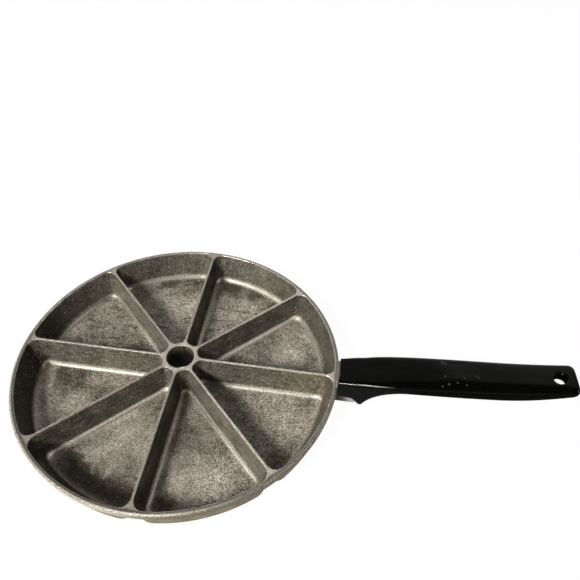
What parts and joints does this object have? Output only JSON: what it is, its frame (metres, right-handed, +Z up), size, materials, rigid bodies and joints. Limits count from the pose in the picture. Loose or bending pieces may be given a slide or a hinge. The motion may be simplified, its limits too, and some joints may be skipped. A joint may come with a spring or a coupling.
{
  "type": "cornbread wedge pan",
  "caption": "Round cast-aluminium cornbread pan with wedge-shaped wells around a bored hub and a black phenolic handle screwed to its side, for baking batter in separate wedges.",
  "frame": {"origin": "middle of the footprint, handle included, on the surface that the pan stands on", "axes": "+Z up, +X along the handle, away from the pan"},
  "size_m": [0.4004, 0.24, 0.0592],
  "materials": {
    "cast_aluminium": "sand-cast, dull, stained by baking, brighter where the wells and lands are worn",
    "phenolic": "glossy black moulded phenolic with fine wear",
    "brass": "turned and knurled",
    "steel": "zinc-plated, dulled"
  },
  "bodies": {
    "root": {"pan_casting": "cast_aluminium", "handle": "phenolic", "threaded_insert": "brass", "handle_screw": "steel", "lock_washer": "steel"}
  },
  "joints": []
}
